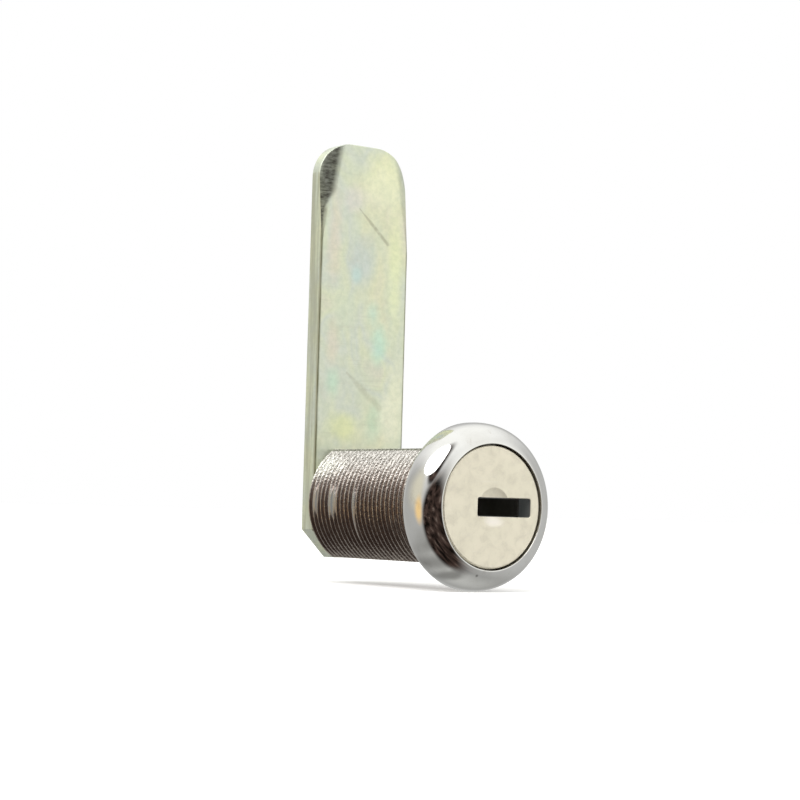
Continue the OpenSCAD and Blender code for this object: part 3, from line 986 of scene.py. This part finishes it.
def rolled(past):
    """How far the rolled edge has dropped at a distance past its start."""
    part = min(1.0, past / DIE_ROLL)
    return DIE_ROLL * (1 - math.sqrt(1 - part * part))


def cam_front_drop(x, z, half):
    """How far the front is sunk at a place: lead-in, die roll at the edge and slight waves."""
    drop = 0.0
    if z > LEAD_Z:
        part = (z - LEAD_Z) / (CAM_HIGH.z - LEAD_Z)
        wide = lead_width(z) if x < 0 else LEAD_W * part
        s = (abs(x) - (CAM_HALF - wide)) / max(wide, 0.05)
        s = min(1.0, max(0.0, s))
        eased = 1.15 * s * s / (s + 0.15)
        drop = LEAD_DEPTH * part * (1 - (1 - min(1.0, eased)) ** 1.25 if x < 0 else s ** 1.5)
    inner = half - DIE_ROLL
    if abs(x) > inner:
        drop += rolled(abs(x) - inner)
    top = CAM_HIGH.z - DIE_ROLL
    if z > top:
        drop += rolled(z - top)
    wave = noise.noise(Vector((x * 0.16, 3.1, z * 0.10)))
    return drop + CAM_WAVE + CAM_WAVE * wave


def cam_rows():
    """Heights at which the cam's outline is drawn, closer at the foot and round the tip."""
    bar, lead, tip = 42, 24, 44       # steps along the bar, the lead-ins and the tip
    foot_top = CAM_LOW.z + CAM_HALF - CAM_FOOT_HALF
    rows = [CAM_LOW.z, CAM_LOW.z + 0.1, foot_top - 0.1, foot_top]
    rows += [foot_top + (LEAD_Z - foot_top) * i / bar for i in range(1, bar + 1)]
    round_z = CAM_HIGH.z - max(CAM_TIP_R)
    rows += [LEAD_Z + (round_z - LEAD_Z) * i / lead for i in range(1, lead + 1)]
    return rows + [round_z + max(CAM_TIP_R) * math.sin(a) for a in arc(tip)[1:]]


def cam_columns():
    """Places across the cam, -1 to 1, closer at the edges."""
    steps = [i / 40 for i in range(37)] + [0.93, 0.955, 0.97, 0.98, 0.988, 0.994, 0.998, 1.0]
    return [-u for u in reversed(steps[1:])] + steps


def make_cam():
    """The stamped bar: clipped foot, square hole, coined lead-ins and rolled front edges."""
    bm = bmesh.new()
    rings = []
    columns = cam_columns()
    for z in cam_rows():
        left, right = [cam_half_width(z, radius) for radius in CAM_TIP_R]
        front = []
        for u in columns:
            half = left if u < 0 else right
            front.append((u * half, CAM_LOW.y + cam_front_drop(u * half, z, half), z))
        back_y, edge = CAM_HIGH.y, BACK_BURR
        back = [(right, back_y - edge, z), (right - edge, back_y, z), (0.0, back_y, z),
                (edge - left, back_y, z), (-left, back_y - edge, z)]
        rings.append(front + back)
    loft(bm, rings)
    hole = bmesh.new()
    add_box(hole, (-CAM_HOLE_HALF, CAM_LOW.y - 1, -CAM_HOLE_HALF),
            (CAM_HOLE_HALF, CAM_HIGH.y + 1, CAM_HOLE_HALF))
    bm = cut(bm, hole)
    shade(bm, 35)
    cam = to_object("straight_cam", bm, [PASSIVATE])
    keep_flats(cam)
    place(cam, "plug", ["cam"])


# ---- small parts ----

def refine(node, name, width):
    """Puts a zinc plated copy with broken edges in place of a plain node that turns with the plug."""
    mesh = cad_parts[node].data.copy()
    mesh.materials.clear()
    mesh.materials.append(BRIGHT_ZINC)
    piece = link(bpy.data.objects.new(name, mesh))
    bevel = piece.modifiers.new("broken_edges", "BEVEL")
    bevel.width = width * MM
    bevel.segments = 2
    bevel.limit_method = "ANGLE"
    bevel.angle_limit = math.radians(40)
    bevel.harden_normals = False
    for polygon in mesh.polygons:
        polygon.use_smooth = True
    keep_flats(piece)
    place(piece, "plug", [node])


def make_spring(node, name, turns, wire):
    """A coil spring with closed end turns, wound along X in the place of its plain node."""
    low, high = box_mm(node)
    middle = (low + high) / 2
    coil_r = (high.y - low.y) / 2 - wire
    closed = 2.2 * wire
    pitch = (high.x - low.x - 2 * wire - 2 * closed) / (turns - 2)
    per_turn, sides = 20, 8
    rings = []
    for i in range(turns * per_turn + 1):
        turn = i / per_turn
        x = low.x + wire + closed * min(turn, 1) + closed * max(turn - turns + 1, 0)
        x += pitch * min(max(turn - 1, 0), turns - 2)
        a = 2 * math.pi * turn
        ring = []
        for j in range(sides):
            b = 2 * math.pi * j / sides
            r = coil_r + wire * math.cos(b)
            ring.append((x + wire * math.sin(b), middle.y + r * math.cos(a),
                         middle.z + r * math.sin(a)))
        rings.append(ring)
    bm = bmesh.new()
    loft(bm, rings)
    shade(bm, 50)
    spring = to_object(name, bm, [SPRING_STEEL])
    place(spring, "plug", [node])
    return spring


def make_springs():
    """One spring behind each wafer, and the stiffer one that the retaining wafer presses in."""
    for number in range(1, len(WAFER_NAMES) + 1):
        make_spring("wafer_spring_%d" % number, "wafer_coil_%d" % number, 8, 0.09)
    spring = make_spring("retaining_spring", "retaining_coil", 7, 0.15)
    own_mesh(spring)


# ---- stage ----

FLOOR_GLOW = 0.32
FLOOR_HALF = 4000.0
CAMERA_AT = (-177.33, -224.23, -0.78)
CAMERA_TURN = (36.31, 3.09, 1.62)  # heading, pitch and roll in degrees
CAMERA_LENS = 91.83
# azimuth from the back towards +X, elevation, half width and half height in degrees, softness, colour
ROOM = [
    (-50, 8, 34, 30, 0.4, (0.52, 0.52, 0.51)), (104, -2, 32, 28, 0.5, (0.60, 0.60, 0.59)),
    (50, 5, 34, 26, 0.4, (0.54, 0.54, 0.53)), (-70, 18, 24, 20, 0.6, (0.84, 0.80, 0.66)),
    (146, 10, 26, 24, 0.5, (1.16, 1.16, 1.12)), (146, 46, 26, 18, 0.8, (1.2, 1.2, 1.17))]
DARK_SIDE = (-152, -20, 50, 46, 0.16)
DARK_EDGE = (-138, 46, 27, 26, 0.22)
LAMP = (-82, -5, 15, 13, 0.6)


def make_floor():
    """A plain pale floor under the head."""
    bm = bmesh.new()
    corners = ((-1, -1), (1, -1), (1, 1), (-1, 1))
    bm.faces.new([bm.verts.new((x * FLOOR_HALF, y * FLOOR_HALF, HOUSING_LOW.z)) for x, y in corners])
    f = Finish("pale_floor", Roughness=1.0, Specular_IOR_Level=0.0, Emission_Color=(1, 1, 0.995, 1))
    seen = f.add("ShaderNodeLightPath").outputs["Is Camera Ray"]
    f.give("Base Color", f.mix(seen, (0.42, 0.42, 0.41, 1), (0.96, 0.96, 0.955, 1)))
    f.give("Emission Strength", f.times(seen, FLOOR_GLOW))
    floor = to_object("floor", bm, [f.material])
    floor.visible_glossy = False


def patch(t, direction, azimuth, elevation, wide, tall, soft):
    """1 inside an oval part of the studio, given by its middle and half sizes in degrees."""
    a, e = math.radians(azimuth), math.radians(elevation)
    axes = ((math.sin(a) * math.cos(e), math.cos(a) * math.cos(e), math.sin(e)),
            (math.cos(a), -math.sin(a), 0.0),
            (-math.sin(a) * math.sin(e), -math.cos(a) * math.sin(e), math.cos(e)))
    ahead, across, up = [t.vector("DOT_PRODUCT", direction, axis)["Value"] for axis in axes]
    across = t.math("DIVIDE", across, math.sin(math.radians(wide)))
    up = t.math("DIVIDE", up, math.sin(math.radians(tall)))
    far = t.math("SQRT", t.plus(t.times(across, across), t.times(up, up)))
    oval = t.span(far, 1 - soft, 1 + soft, 1.0, 0.0)
    return t.times(oval, t.math("GREATER_THAN", ahead, 0.0))


def make_studio():
    """Soft light all round, with a dark side of the room in front of the lock and a warm lamp."""
    world = bpy.data.worlds.new("studio")
    bpy.context.scene.world = world
    world.use_nodes = True
    t = Tree(world.node_tree)
    direction = t.add("ShaderNodeTexCoord").outputs["Generated"]
    up = t.parts(direction)[2]
    light = t.ramp(t.times(t.plus(up, 1.0), 0.5), [
        (0.0, (0.60, 0.60, 0.58, 1)), (0.20, (0.42, 0.42, 0.41, 1)), (0.50, (0.64, 0.64, 0.63, 1)),
        (0.75, (0.82, 0.82, 0.81, 1)), (0.93, (1.22, 1.22, 1.19, 1))])
    clutter = t.noise(t.stretched(direction, (3.0, 3.0, 11.0)), 1.0, 3, 0.6)
    for azimuth, elevation, wide, tall, soft, colour in ROOM:
        light = t.mix(patch(t, direction, azimuth, elevation, wide, tall, soft), light, colour + (1,))
    dark = t.ramp(clutter, [(0.38, (0.008, 0.006, 0.005, 1)), (0.60, (0.085, 0.055, 0.045, 1)),
                            (0.72, (0.26, 0.21, 0.18, 1))])
    side, edge = patch(t, direction, *DARK_SIDE), patch(t, direction, *DARK_EDGE)
    light = t.mix(t.math("MAXIMUM", side, edge), light, dark)
    light = t.mix(patch(t, direction, *LAMP), light, (1.12, 0.79, 0.38, 1))
    seen = t.add("ShaderNodeLightPath").outputs["Is Camera Ray"]
    background = t.tree.nodes["Background"]
    t.feed(background.inputs["Color"], t.mix(seen, light, (1, 1, 1, 1)))


def softbox(name, azimuth, elevation, distance, wide, tall, power):
    """A large soft light that shines at the lock from a direction, in degrees and metres."""
    a, e = math.radians(azimuth), math.radians(elevation)
    light = bpy.data.lights.new(name, "AREA")
    light.shape = "ELLIPSE"
    light.size = wide
    light.size_y = tall
    light.energy = power
    lamp = link(bpy.data.objects.new(name, light))
    away = Vector((math.sin(a) * math.cos(e), math.cos(a) * math.cos(e), math.sin(e)))
    lamp.location = away * distance
    lamp.visible_camera = False
    lamp.rotation_euler = (-lamp.location).to_track_quat("-Z", "Y").to_euler()


def make_camera():
    """A long lens in front and to the left of the lock, level with its axis."""
    heading, pitch, roll = [math.radians(turn) for turn in CAMERA_TURN]
    forward = Vector((math.sin(heading) * math.cos(pitch), math.cos(heading) * math.cos(pitch),
                      math.sin(pitch)))
    right = Vector((math.cos(heading), -math.sin(heading), 0))
    up = right.cross(forward)
    tilted_right = math.cos(roll) * right + math.sin(roll) * up
    tilted_up = math.cos(roll) * up - math.sin(roll) * right
    data = bpy.data.cameras.new("camera")
    data.lens = CAMERA_LENS
    data.sensor_width = 36.0
    data.clip_start = 0.01
    camera = link(bpy.data.objects.new("camera", data))
    camera.matrix_world = Matrix.Translation(Vector(CAMERA_AT) * MM) @ Matrix(
        (tilted_right, tilted_up, -forward)).transposed().to_4x4()
    bpy.context.scene.camera = camera


make_camera()
make_floor()
make_studio()
softbox("key_softbox", azimuth=-112, elevation=55, distance=0.9, wide=1.2, tall=0.68, power=6.2)
make_housing()
make_plug()
make_cam()
refine("cam_screw", "hexagon_screw", 0.08)
refine("plain_washer", "flat_washer", 0.08)
refine("lock_washer", "toothed_washer", 0.03)
refine("stop_washer", "lugged_washer", 0.08)
make_springs()
for name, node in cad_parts.items():
    if name in WAFER_NAMES or name == "retaining_wafer":
        node.data.materials.clear()
        node.data.materials.append(BRASS)
bpy.context.scene.view_settings.view_transform = "Standard"
